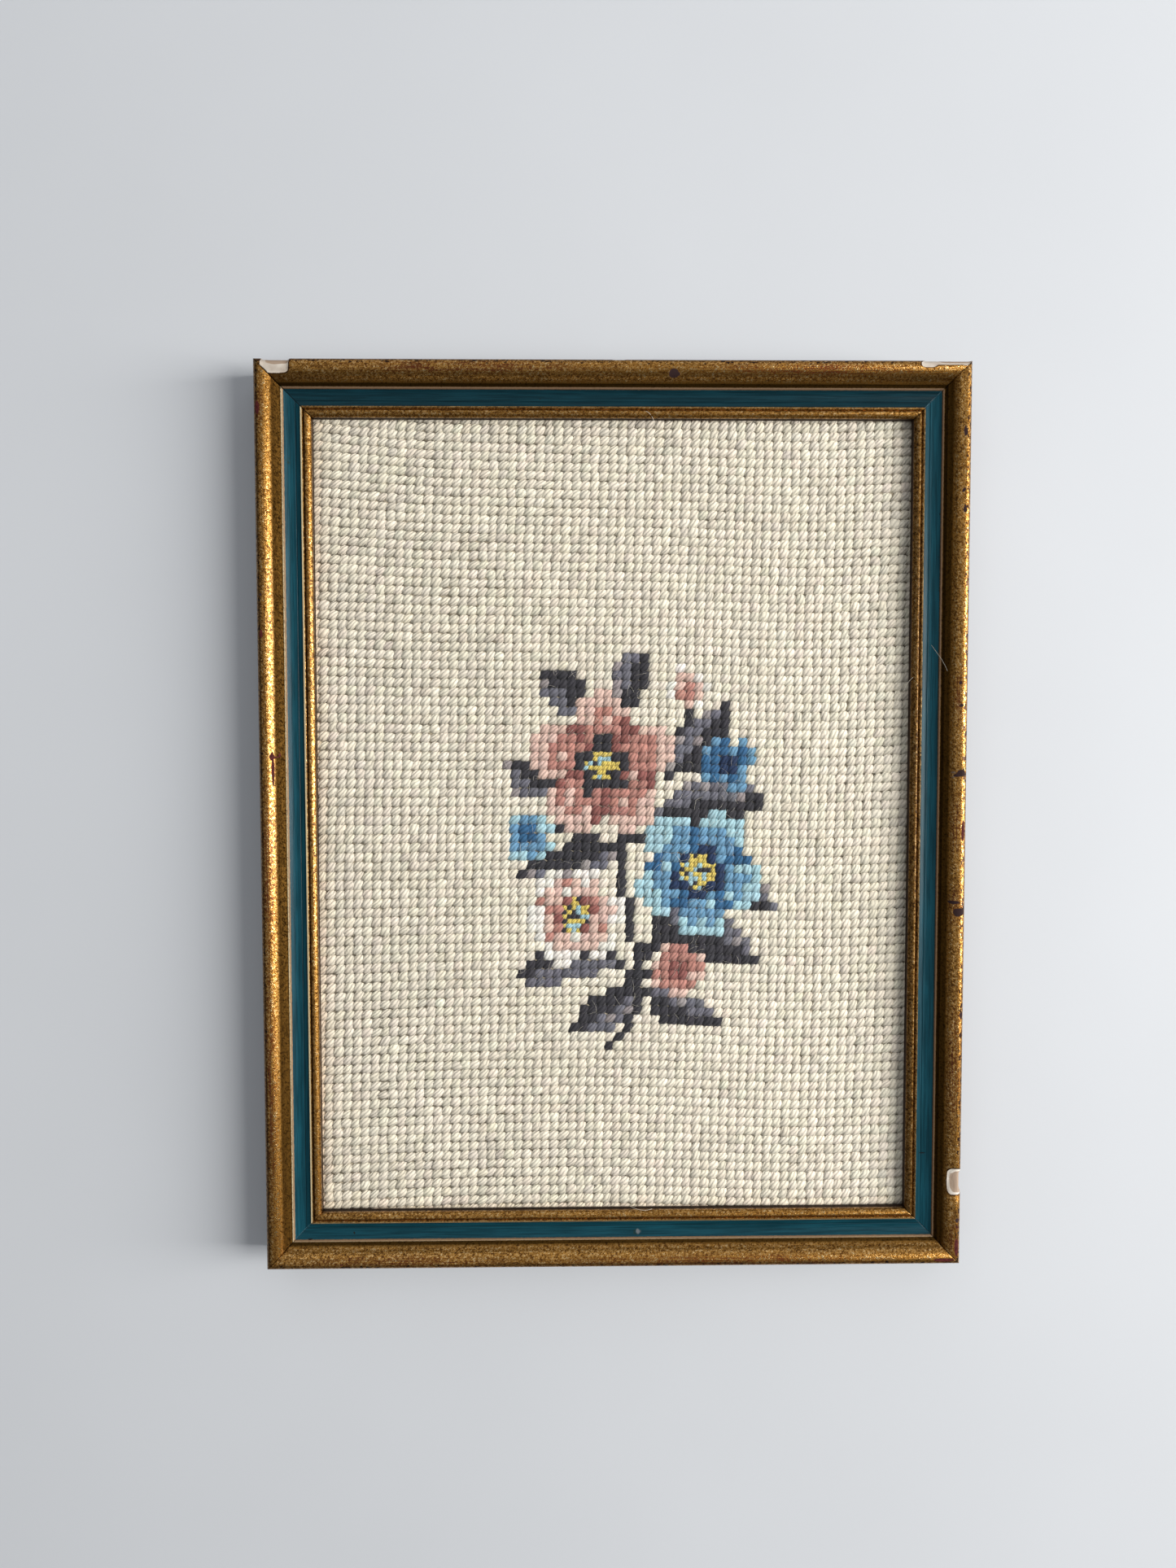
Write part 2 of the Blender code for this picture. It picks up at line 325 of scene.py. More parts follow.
BOLE_RUBS = worn_places(
    left_rail=(
        (-93.2, 18, 15.7, 0.65, 1, 1.8, 0.05), (-93, 14.4, 15.7, 0.36, 4.6, 1.8, 0.05, 2.2),
        (-92.3, 17.9, 15.2, 1, 0.24, 1.8, 0.04), (-91.5, 18.5, 14.3, 0.30, 0.75, 1.8, 0.04),
        (-95.6, 111.5, 16, 0.7, 2, 2.4, 0.03), (-95.5, 51, 16.2, 0.5, 0.9, 2.4, 0.03),
    ),
    right_rail=(
        (95.7, -2.8, 16.1, 0.45, 3, 2.4, 0.02, 2.2), (95.6, -119.6, 16, 0.65, 2.7, 2.4, 0.06, 2.2),
        (95.4, -114, 16.2, 0.7, 0.7, 2.4, 0.06),
    ),
    bottom_rail=(
        (92.2, -123.2, 16.1, 3, 0.5, 2.4, 0.05, 2.2), (-76.3, -123, 16.2, 0.75, 0.45, 2.4, 0.03),
    ),
    top_rail=((69.5, 113, 12.4, 0.9, 0.5, 1.2, 0.02),),
)
DARK_MARKS = worn_places(
    right_rail=(
        (95, 13.2, 16, 1.15, 0.95, 2.6, 0.12, 2.4), (93.9, 12.6, 15.8, 1, 0.45, 2.6, 0.06),
        (94.9, -25.1, 16.1, 1.5, 1, 2.6, 0.05, 3), (93.4, -22.5, 15.6, 2, 0.5, 2.6, 0.03),
        (94.9, 105.6, 16.2, 0.6, 1.1, 2.4, 0.04), (94.3, 90.4, 16.1, 0.95, 1, 2.4, 0.05),
        (95, 84.8, 16.2, 0.5, 0.9, 2.4, 0.04), (94.5, 38, 16.2, 0.45, 0.6, 2.4, 0.04),
        (94.8, 31.8, 16.2, 0.55, 0.5, 2.4, 0.04), (96, -53.8, 15.8, 0.6, 0.8, 2.4, 0.05),
        (95.7, -112, 16.1, 0.6, 0.7, 2.4, 0.04), (86.1, 33.4, 12, 0.8, 0.34, 0.9, 0.05),
        (86.9, -94.2, 12, 1.1, 0.20, 0.8, 0.04),
    ),
    top_rail=((16, 121, 15.6, 1.5, 1.3, 1.8, 0.04),),
    left_rail=(
        (-88.4, 88.6, 12.2, 0.3, 0.35, 0.8, 0.03), (-94.9, -118.8, 16.3, 0.45, 0.4, 2.4, 0.04),
        (-95.3, -122, 16.3, 0.4, 0.35, 2.4, 0.04), (-95.4, 61.9, 16.3, 0.45, 0.5, 2.4, 0.04),
    ),
    bottom_rail=(
        (-85, -117.4, 12.7, 0.5, 0.35, 1, 0.04), (61.8, -112.5, 12.5, 0.35, 0.3, 0.9, 0.03),
        (56.9, -114.4, 12.1, 0.2, 0.6, 0.9, 0.03), (52.7, -112.9, 12.5, 0.55, 0.2, 0.9, 0.03),
        (65.8, -119.6, 14.1, 0.2, 0.2, 1.2, 0.03), (50, -116, 12.1, 0.25, 0.25, 0.6, 0.03),
    ),
)
PAINT_STAINS = worn_places(
    left_rail=((-88.2, 99.2, 12.2, 1.5, 2.4, 1.4),),
    bottom_rail=((6, -116.2, 12.2, 0.9, 1.1, 0.8),),
)
PALE_SCUFFS = worn_places(
    bottom_rail=((6.6, -116, 12.2, 0.7, 0.9, 0.8),),
    right_rail=((93.1, 13.4, 15.6, 0.9, 0.4, 1.6), (93, 12.1, 15.6, 0.6, 0.3, 1.6)),
    left_rail=((-91, 101.7, 13.4, 0.22, 0.6, 1.4),),
)
WORN = {
    "gesso": GESSO_CHIPS, "bare": WOOD_CORES, "thin": THIN_GILDING, "bole": BOLE_RUBS,
    "dark": DARK_MARKS, "stain": PAINT_STAINS, "pale": PALE_SCUFFS,
}
# How dark each corner's joint shows, by which side of the middle it lies on in x and y
JOINTS = (((-1, 1), 0.85), ((1, 1), 0.15), ((-1, -1), 0.30), ((1, -1), 0.55))


def ragged(points, scale, seed):
    """A wavering value from -1 to 1: three sines of the point turned by random directions, averaged."""
    turns = np.random.default_rng(seed).normal(size=(3, 3)) * scale
    return np.sin(points @ turns.T).mean(axis=1)


def worn_field(places, rail, points, tear=1.0):
    """How far inside a worn place each point is: 1 less the superellipse distance, with a torn edge."""
    field = np.full(len(points), -1.0)
    for number, (owner, middle, halves, _, squareness) in enumerate(places):
        if owner != rail:
            continue
        away = np.abs(points - np.array(middle)) / np.array(halves)
        inside = 1 - (away**squareness).sum(axis=1) ** (1 / squareness)
        inside += tear * (0.09 * ragged(points, 1.6, number) + 0.04 * ragged(points, 6.0, number + 50))
        field = np.maximum(field, inside)
    return field


def worn_depth(places, rail, points, tear=1.0):
    """Depth lost at each point: each place's own depth, reached a short way inside its edge."""
    depth = np.zeros(len(points))
    for place in places:
        if place[0] == rail:
            field = worn_field([place], rail, points, tear)
            depth = np.maximum(depth, place[3] * smooth_step(field, -0.02, 0.12))
    return depth


def stations(length, close_to):
    """Stations from end to end of a rail as parts from -1 to 1, closer together beside worn places."""
    parts = np.linspace(-1, 1, 5001)
    along = parts * length / 2
    density = np.full(len(parts), 1 / STATION_STEP)
    for middle, half in [*close_to, (length / 2, CLOSE_STEP), (-length / 2, CLOSE_STEP)]:
        density = np.maximum(density, (np.abs(along - middle) < half + CLOSE_STEP) / CLOSE_STEP)
    total = np.concatenate([[0], np.cumsum(density[:-1]) * (along[1] - along[0])])
    return np.interp(np.linspace(0, total[-1], int(total[-1]) + 1), total, parts)


def rail(name, quarter_turns, finish):
    """One rail: the softened section carried along a straight path and cut to a mitre at both ends.

    A point lies at part * (half length - across - gap) along the rail, at its section's across and
    height, less the depth worn away there along the section's own normal.
    """
    tables = [table for label, table in WORN.items() if label not in ("bare", "thin")]
    worn = [place for table in tables for place in table if place[0] == name]
    sideways = quarter_turns % 2
    length = FRAME_SIZE[sideways]
    sign = 1 if quarter_turns in (0, 1) else -1
    close_to = [(sign * place[1][sideways], place[2][sideways]) for place in worn]
    parts = stations(length, close_to)
    across, height = SECTION.T
    tangent = np.gradient(SECTION, axis=0)
    tangent /= np.linalg.norm(tangent, axis=1)[:, None]
    normal = np.stack([-tangent[:, 1], tangent[:, 0]], axis=1)
    reach = length / 2 - across - MITRE_GAP / 2 * math.sqrt(2)
    along = reach[:, None] * parts[None, :]
    rows, columns = along.shape
    wide = [np.repeat(values[:, None], columns, 1) for values in (across, height, SECTION_PLACE)]
    local = np.stack([along, wide[0], wide[1]], axis=2)
    cos, sin = ((1, 0), (0, 1), (-1, 0), (0, -1))[quarter_turns]
    turn = np.array([[cos, -sin, 0], [sin, cos, 0], [0, 0, 1]])
    centre = np.array([sin * FRAME_SIZE[0] / 2, -cos * FRAME_SIZE[1] / 2, 0.0])
    world = local.reshape(-1, 3) @ turn.T + centre
    depth = worn_depth(GESSO_CHIPS, name, world, CHIP_TEAR) + worn_depth(WOOD_CORES, name, world)
    for table in (DARK_MARKS, BOLE_RUBS):
        depth = np.maximum(depth, worn_depth(table, name, world))
    inward = np.stack([np.zeros(rows), normal[:, 0], normal[:, 1]], axis=1)
    inward = np.repeat(inward[:, None], columns, 1).reshape(-1, 3) @ turn.T
    inside = np.repeat(SECTION.mean(axis=0)[None], rows, 0)
    facing = np.sign(((inside - SECTION) * normal).sum(axis=1).sum())
    world += inward * facing * depth[:, None]
    index = np.arange(rows * columns).reshape(rows, columns)
    after = np.roll(index, -1, axis=0)
    side = np.stack([index[:, :-1], after[:, :-1], after[:, 1:], index[:, 1:]], axis=2).reshape(-1, 4)
    blocks = outward(world, [side, index[None, ::-1, 0], index[None, :, -1]])
    attributes = {
        "along": along.ravel() + PATTERN_SHIFT * quarter_turns,
        "section": wide[2].ravel(),
        "to_mitre": (reach[:, None] * (1 - np.abs(parts))[None, :]).ravel(),
        "joint": sum(dark * (world[:, :2] * corner > 0).all(axis=1) for corner, dark in JOINTS),
    }
    for label, table in WORN.items():
        tear = CHIP_TEAR if label == "gesso" else 1.0
        attributes[label] = worn_field(table, name, world, tear)
    for label, amount in zip(WEAR_KINDS, RAIL_WEAR[name]):
        attributes[label] = np.full(len(world), amount)
    piece = mesh_piece("gilded_" + name, world, blocks, finish, attributes)
    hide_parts(name)


def math_node(operation, turned=False):
    """An operator that adds this Math node. Turned is its form with the plain number on the left."""

    def operator(value, *others):
        ordered = (*others, value) if turned else (value, *others)
        return value.finish.add("ShaderNodeMath", {"operation": operation}, dict(enumerate(ordered)))

    return operator


class Value:
    """A number worked out inside a finish. Its operators add Math nodes."""

    __add__ = math_node("ADD")
    __radd__ = math_node("ADD", True)
    __sub__ = math_node("SUBTRACT")
    __rsub__ = math_node("SUBTRACT", True)
    __mul__ = math_node("MULTIPLY")
    __rmul__ = math_node("MULTIPLY", True)
    __pow__ = math_node("POWER")
    __or__ = math_node("MAXIMUM")
    __and__ = math_node("MINIMUM")
    __abs__ = math_node("ABSOLUTE")
    sine = math_node("SINE")

    def __init__(self, finish, socket):
        self.finish = finish
        self.socket = socket

    def step(self, low, high):
        """Rises smoothly from 0 at low to 1 at high."""
        settings = {"interpolation_type": "SMOOTHSTEP"}
        sockets = {"Value": self, "From Min": low, "From Max": high}
        return self.finish.add("ShaderNodeMapRange", settings, sockets)

    def band(self, low, high, soft):
        """1 between low and high, and 0 outside them."""
        return self.step(low - soft, low + soft) * (1 - self.step(high - soft, high + soft))


class Finish:
    """A material on one Principled shader, with the few methods that its nodes come from."""

    def __init__(self, name, colour, roughness, **fixed):
        self.material = bpy.data.materials.new(name)
        self.material.use_nodes = True
        self.material.diffuse_color = (*colour, 1.0)
        self.tree = self.material.node_tree
        self.shader = self.tree.nodes["Principled BSDF"]
        self.shader.inputs["Base Color"].default_value = (*colour, 1.0)
        self.shader.inputs["Roughness"].default_value = roughness
        for label, value in fixed.items():
            self.shader.inputs[label.replace("_", " ")].default_value = value

    def add(self, kind, settings, sockets, output=0):
        """A node of this kind, with its settings made first and then its sockets' values or links."""
        node = self.tree.nodes.new(kind)
        for label, value in settings.items():
            setattr(node, label, value)
        for label, value in sockets.items():
            socket = node.inputs[label]
            if isinstance(value, Value):
                self.tree.links.new(value.socket, socket)
            elif isinstance(value, tuple) and len(value) == 3 and socket.type == "RGBA":
                socket.default_value = (*value, 1.0)
            else:
                socket.default_value = value
        return Value(self, node.outputs[output])

    def attribute(self, label, output="Fac"):
        return self.add("ShaderNodeAttribute", {"attribute_name": label}, {}, output)

    def place(self):
        """The point's own place in metres."""
        return self.add("ShaderNodeTexCoord", {}, {}, "Object")

    def vector(self, x, y, z):
        return self.add("ShaderNodeCombineXYZ", {}, {0: x, 1: y, 2: z})

    def noise(self, vector, scale, detail=2.0, roughness=0.5):
        sockets = {"Vector": vector, "Scale": scale, "Detail": detail, "Roughness": roughness}
        return self.add("ShaderNodeTexNoise", {}, sockets)

    def mix(self, first, second, factor):
        """The first colour, going over to the second as the factor rises."""
        return self.add("ShaderNodeMix", {"data_type": "RGBA"}, {0: factor, 6: first, 7: second}, 2)

    def shade(self, colour, factor):
        """The colour times a number."""
        return self.add("ShaderNodeVectorMath", {"operation": "SCALE"}, {0: colour, "Scale": factor})

    def blend(self, first, second, factor):
        """The first number, going over to the second as the factor rises."""
        return self.add("ShaderNodeMix", {}, {0: factor, 2: first, 3: second})

    def bump(self, height, distance):
        return self.add("ShaderNodeBump", {}, {"Height": height, "Distance": distance})

    def wear(self, **links):
        for label, value in links.items():
            self.tree.links.new(value.socket, self.shader.inputs[label.replace("_", " ")])
        return self.material


def moulding_finish():
    """Bronze gold over red bole and gesso, blue-green paint in the hollow, stained and bare wood."""
    sheen = {"Coat_Roughness": 0.14, "Specular_IOR_Level": 0.14}
    f = Finish("worn_gilding_and_paint", (0.45, 0.27, 0.08), 0.4, **sheen)
    point = f.place()
    section = f.attribute("section")
    along = f.attribute("along")
    roll_from, cove_from, rim = (SECTION_MARKS[name][0] for name in ("roll", "cove", "outer_fillet"))
    paint_from, paint_to = SECTION_MARKS["hollow"]
    step_from, step_to = SECTION_MARKS["inner_fillet"]
    bead_from, bead_to = SECTION_MARKS["bead"]
    worn = {label: f.attribute(label) for label in (*WEAR_KINDS, *WORN, "joint")}
    # Per rail: rubbing with painted light, painted shade with some dust, and painted shade on the bead
    rubbing_and_light, shade_and_dust, bead = worn["rubbing_and_light"], worn["shade_and_dust"], worn["bead"]

    def drawn_out(lengthwise, across, apart, detail, roughness):
        """Noise stretched by these scales along the rail and across it."""
        return f.noise(f.vector(along * lengthwise, section * across, apart), 1.0, detail, roughness)

    # Specks, dirt, painted light and shade, and strokes in the gilding
    slant = along * 0.82 + section * 0.57
    streak = f.noise(f.vector(slant * 1.3, (section * 0.82 - along * 0.57) * 4.4, 7.0), 1.0, 4.0, 0.7)
    fleck = 0.5 * (f.noise(point, 1900.0, 4.0, 0.75) + streak)
    fleck = fleck + 0.34 * (f.noise(point, 1150.0, 3.0, 0.6) - 0.5)
    # Dirt and painted shade darken the cove, starting at each rail's own distance from it
    cove_dirt_and_shade = (section - worn["dirt_and_shade_from"]).step(cove_from - 0.6, cove_from + 0.9)
    cove_dirt_and_shade = cove_dirt_and_shade * (1 - section.step(rim, rim + 1.0))
    grit = f.noise(point, 3000.0, 2.0, 0.6)
    cloud = f.noise(point, 110.0, 3.0, 0.6)
    drawn = drawn_out(0.08, 3.2, 0.0, 3.0, 0.6)

    gold = f.mix((0.130, 0.052, 0.010), (0.64, 0.315, 0.062), fleck.step(0.42 - 0.10 * cove_dirt_and_shade, 0.54))
    gold = f.mix(gold, (1.0, 0.80, 0.46), fleck.step(0.53, 0.62) * (1 - cove_dirt_and_shade) * 0.7)
    # Painted light and shade: each rail's gilding made lighter or darker by how light falls on it
    gold = f.shade(gold, (0.68 + 0.5 * cloud + 1.1 * (drawn - 0.5)) * worn["gilding_light"])
    thin = worn["thin"].step(-0.6, 0.7) * (fleck + drawn).step(1.06, 0.90)
    gold = f.mix(gold, (0.150, 0.036, 0.014), thin * 0.85)
    nicks = (drawn_out(0.6, 1.1, 5.0, 2.0, 0.6) + 0.05 * worn["pitting"]).step(0.59, 0.615)
    nicks = nicks * section.band(roll_from + 0.9, roll_from + 3.0, 0.3)
    gold = f.mix(gold, (0.035, 0.016, 0.010), nicks)
    pits = grit.step(0.60, 0.68) * (0.55 + 0.9 * cloud) * (1 - 0.7 * cove_dirt_and_shade)
    gold = f.mix(gold, (0.060, 0.022, 0.006), pits & 1.0)
    # Painted shade darkens the left rail's quirk, and painted light brightens the quirk of the other
    # rails
    quirk = section.band(step_to + 0.12, bead_from + 0.30, 0.14)
    cove_dirt_and_shade = cove_dirt_and_shade | quirk * (0.05 + 0.55 * rubbing_and_light)
    at_bead = section.step(step_from - 0.1, step_from)
    gold = f.shade(gold, 1 + 0.8 * quirk * (1 - rubbing_and_light))
    # Painted shade in the crevice at the foot of the cove, least on the left rail
    crevice = section.band(rim - 1.0, rim + 0.1, 0.2)
    gold = f.shade(gold, 1 - 0.75 * crevice * (1 - rubbing_and_light))
    # Painted shade dims the inner fillet, least on the left rail
    fillet = section.band(step_from - 0.1, step_to, 0.1) * (1 - rubbing_and_light)
    gold = f.shade(gold, 1 - 0.35 * fillet)
    # Painted shade dims the outer side of the left rail's roll, and each rail's bead by its own amount
    flank = rubbing_and_light * (1 - section.step(roll_from + 1.8, roll_from + 4.0))
    gold = f.shade(gold, (1 - at_bead * (1 - bead)) * (1 - 0.5 * flank))
    # Painted shade in the cove and where the bead drops into the lip
    gold = f.shade(gold, 1 - 0.80 * cove_dirt_and_shade - 0.35 * section.step(bead_to - 0.2, bead_to + 0.6))
    metal = 0.96 - 0.15 * pits
    rough = 0.20 + 0.30 * (1 - fleck.step(0.4, 0.58)) + 0.20 * pits + 0.30 * cove_dirt_and_shade
    rough = rough + 0.35 * at_bead * (1 - bead)
    coat = 0.15 * (1 - cove_dirt_and_shade) * (1 - (pits & 1.0))

    # Rubbed fillets, lighter where painted light falls, with a painted highlight on their arrises
    nibble = drawn_out(0.8, 1.5, 3.0, 3.0, 0.6)
    # The outer fillet is rubbed through to bole, and painted light makes it lighter on the left rail
    rubbed = (section + 0.25 * (nibble - 0.5)).band(rim + 0.15, paint_from, 0.06)
    dull = f.mix((0.12, 0.072, 0.044), (0.40, 0.26, 0.155), rubbing_and_light)
    colour = f.mix(gold, dull, rubbed * 0.9)
    # The arrises are rubbed pale and carry a painted highlight, brightest on the left rail
    arris = (section + 0.5 * (nibble - 0.5)).band(rim, rim + 0.32, 0.06)
    arris = arris * streak.step(0.34, 0.52) * rubbing_and_light * rubbing_and_light
    inner = (section - 0.22 * rubbing_and_light).step(step_from + 0.14, step_from + 0.26)
    inner = (1 - inner) * section.step(step_from - 0.08, step_from + 0.04)
    arris = arris | inner * (0.05 + 0.95 * rubbing_and_light * rubbing_and_light) * streak.step(0.26, 0.46)
    colour = f.mix(colour, (0.92, 0.76, 0.46), arris * 0.85)
    metal = metal * (1 - 0.85 * rubbed) * (1 - 0.6 * arris)
    rough = rough + 0.15 * rubbed

    # Paint in the hollow
    strokes = drawn_out(0.06, 1.7, 1.0, 4.0, 0.65)
    film = f.noise(point, 60.0, 2.0, 0.5)
    rough = rough + 0.25 * shade_and_dust * (1 - section.step(roll_from + 2.2, roll_from + 3.4))
    teal = f.mix((0.0024, 0.038, 0.055), (0.0070, 0.074, 0.105), strokes.step(0.34, 0.66))
    # Painted shade darkens the paint, most on the top rail
    teal = f.shade(teal, (0.75 + 0.5 * film) * (1 - 0.5 * shade_and_dust))
    edge = (0.10 + 0.25 * rubbing_and_light) * (nibble - 0.5)
    painted = (section + edge).band(paint_from, paint_to + 0.05, 0.035)
    specks = f.noise(point, 420.0, 2.0, 0.5).step(0.745, 0.765)
    teal = f.mix(teal, (0.012, 0.012, 0.010), specks)
    groove = paint_from + GROOVE_PLACE - HOLLOW_START
    # Painted shade in the groove, deepest on the left rail
    teal = f.shade(teal, 1 - (0.15 + 0.35 * rubbing_and_light) * section.band(groove - 0.02, groove + 0.34, 0.08))
    colour = f.mix(colour, teal, painted)
    metal = metal * (1 - painted)
    rough = f.blend(rough, 0.24 + 0.16 * strokes, painted)
    coat = f.blend(coat, 0.03, painted)

    # Wood at the outer side, the lip and the back, with painted shade at the lip and up the top rail's
    # roll
    grain = drawn_out(0.10, 4.0, 2.0, 4.0, 0.65)
    lip = section + 0.6 * (nibble - 0.5) - 0.7 * rubbing_and_light
    lip = lip.step(bead_to + 0.2, bead_to + 0.8)
    # Painted shade makes the stain darker at the lip
    deep = grain.step(0.35, 0.65) * (1 - 0.7 * lip)
    brown = f.mix((0.016, 0.007, 0.004), (0.070, 0.030, 0.014), deep)
    colour = f.mix(colour, brown, lip)
    # On the top rail the stain reaches further up the roll as painted shade
    outer = section + 1.6 * (nibble - 0.5) - 2.0 * shade_and_dust
    outer = 1 - outer.step(roll_from - 0.55, roll_from - 0.10)
    colour = f.mix(colour, brown, outer)
    bare = f.mix((0.30, 0.18, 0.09), (0.52, 0.35, 0.20), grain.step(0.3, 0.7))
    back_from, lip_from = (SECTION_MARKS[name][0] for name in ("back", "lip"))
    hidden = 1 - section.step(back_from - 0.2, back_from + 0.3)
    hidden = hidden | section.step(lip_from - 0.1, lip_from + 0.3)
    colour = f.mix(colour, bare, hidden)
    timber = lip | outer
    metal = metal * (1 - timber)
    rough = f.blend(rough, 0.62, timber)

    # Mitres
    close = 1 - f.attribute("to_mitre").step(0.02, 0.28)
    colour = f.shade(colour, 1 - close * worn["joint"])
    scratch = close * painted * (1 - worn["joint"]) * grain.step(0.35, 0.55)
    colour = f.mix(colour, (0.10, 0.22, 0.28), scratch * 0.8)

    # Red rubs, dark marks, stains, chips and scuffs
    crumbs = 0.22 * (fleck - 0.5)
    bole = (worn["bole"] + 2.5 * crumbs).step(0.0, 0.10)
    red = f.mix((0.045, 0.008, 0.008), (0.115, 0.022, 0.018), fleck.step(0.4, 0.6))
    colour = f.mix(colour, red, bole)
    dark = (worn["dark"] + 2.2 * crumbs).step(0.0, 0.12)
    colour = f.mix(colour, f.mix((0.036, 0.018, 0.018), (0.008, 0.012, 0.012), painted), dark)
    stain = (worn["stain"] + 1.5 * crumbs).step(0.05, 0.5) * grit.step(0.52, 0.44)
    colour = f.mix(colour, (0.016, 0.030, 0.014), stain * 0.85)
    gesso_at = worn["gesso"] + 0.5 * crumbs
    gesso = gesso_at.step(-0.01, 0.03)
    chalk = f.mix((0.56, 0.48, 0.40), (0.82, 0.76, 0.67), cloud.step(0.35, 0.6))
    # A dark rim of painted shade round each chip
    colour = f.mix(colour, (0.05, 0.02, 0.01), gesso_at.band(-0.07, 0.0, 0.03))
    colour = f.mix(colour, chalk, gesso)
    core = (worn["bare"] + crumbs).step(-0.02, 0.05) * gesso
    wood = f.mix((0.30, 0.20, 0.135), (0.45, 0.33, 0.24), grain.step(0.3, 0.7))
    colour = f.mix(colour, wood, core * 0.9)
    scuff = (worn["pale"] + 2.0 * crumbs).step(0.0, 0.5)
    colour = f.mix(colour, (0.30, 0.30, 0.31), scuff * 0.45)
    laid_bare = bole | dark | gesso
    metal = metal * (1 - laid_bare)
    rough = f.blend(rough, 0.72, laid_bare)
    coat = coat * (1 - (laid_bare | timber))

    relief = 0.55 * fleck + 0.35 * grit * (1 - painted) + 0.5 * drawn
    relief = f.blend(relief, strokes * 0.8 + 0.1 * fleck, painted)
    relief = f.blend(relief, grain * 1.4, timber)
    normal = f.bump(relief, 0.00008)
    return f.wear(Base_Color=colour, Metallic=metal, Roughness=rough, Coat_Weight=coat, Normal=normal)


def wool_finish():
    """Lofty wool: the stitch's own colour with a painted highlight on each strand's crown, painted
    light and shade along each stitch, and fibres along it.
    """
    f = Finish("wool", (0.72, 0.64, 0.47), 0.86, Sheen_Weight=0.25, Sheen_Roughness=0.45)
    around = f.attribute("around")
    along = f.attribute("lengthwise")
    seed = f.attribute("stitch")
    colour = f.attribute("yarn_colour", "Color")
    bend = f.noise(f.vector(around * 3.0, along * 1.2, seed * 19.0), 1.0, 1.0, 0.5)
    strand = abs((math.pi * (around * 8.0 + along * 0.3 + 0.7 * bend + seed)).sine())
    fibre = f.noise(f.vector(around * 26.0, along * 1.4, seed * 37.0), 1.0, 4.0, 0.65)
    down = f.noise(f.place(), 2600.0, 3.0, 0.7)
    tone = 0.83 + 0.28 * strand + 0.60 * (fibre - 0.5) + 0.20 * (down - 0.5)
    # Painted light towards each stitch's upper end, and painted shade at both ends where it dives into
    # the canvas
    tone = tone + 0.26 * along - 0.12 * along**2 - 0.34 * along**6
    relief = 0.8 * strand + 0.7 * fibre + 0.25 * down
    return f.wear(Base_Color=f.shade(colour, tone & 1.2), Normal=f.bump(relief, 0.00020))


def canvas_finish():
    """Cotton canvas in paired threads over a wool reverse: crossed sine ridges at the stitch pitch,
    kept dark as painted shade for the gaps between the stitches.
    """
    f = Finish("canvas_and_reverse", (0.42, 0.36, 0.26), 0.9)
    point = f.place()
    colour = f.attribute("yarn_colour", "Color")
    x, y = (f.add("ShaderNodeSeparateXYZ", {}, {0: point}, axis) for axis in (0, 1))
    turns = 2 * math.pi / (STITCH_PITCH[0] * MM)
    waver = 3.0 * (f.noise(point, 160.0, 2.0) - 0.5)
    lay = ((x * 0.9 + y * 0.45) * turns + waver).sine()
    rows = abs((y * turns * 0.5 + 0.4 * waver).sine())
    fibre = f.noise(point, 2400.0, 3.0, 0.6)
    ridge = rows.step(0.1, 0.8) * (0.55 + 0.45 * lay)
    # The low tone is painted shade for the gaps between the stitches, and it darkens the reverse too
    tone = 0.26 + 0.36 * ridge + 0.25 * (fibre - 0.5)
    relief = ridge + 0.25 * fibre
    return f.wear(Base_Color=f.shade(colour, tone), Normal=f.bump(relief, 0.0006))


YARN = {
    "cream": (234, 226, 207),
    "charcoal": (52, 51, 57),
    "slate": (108, 108, 118),
    "ash": (150, 142, 142),
    "rose": (186, 132, 120),
    "deep_rose": (142, 88, 82),
    "blush": (222, 190, 176),
    "navy": (30, 50, 84),
    "blue": (50, 99, 140),
    "sky": (106, 152, 184),
    "aqua": (166, 204, 214),
    "white": (240, 236, 226),
    "yellow": (226, 202, 104),
}
YARN_NAMES = list(YARN)


def linear(colour):
    """A screen colour from 0 to 255 as the light that it stands for."""
    part = np.asarray(colour, float) / 255
    return np.where(part <= 0.04045, part / 12.92, ((part + 0.055) / 1.055) ** 2.4)


YARN_LIGHT = np.array([linear(YARN[name]) for name in YARN_NAMES])

# Blossoms: middle, petal reach, petals, turn, then yarns for rim, body, fold and heart
BLOSSOMS = (
    ((-4.5, 9), 8.2, 5, 0.35, ("blush", "rose", "deep_rose", "charcoal")),
    ((6.6, -2.6), 7.4, 5, 1.05, ("aqua", "sky", "blue", "navy")),
    ((-7.2, -7.6), 5.8, 6, 0.2, ("white", "blush", "rose", "deep_rose")),
)
FLORETS = (
    ((9.4, 9.6), 3.4, 4, 0.5, ("sky", "blue", "blue", "navy")),
    ((4.4, -13.4), 3.4, 4, 0.1, ("blush", "rose", "rose", "deep_rose")),
    ((-12.4, 1.2), 2.9, 4, 0.8, ("aqua", "sky", "sky", "blue")),
    ((4.8, 17.6), 2.6, 4, 0.3, ("white", "blush", "blush", "rose")),
)
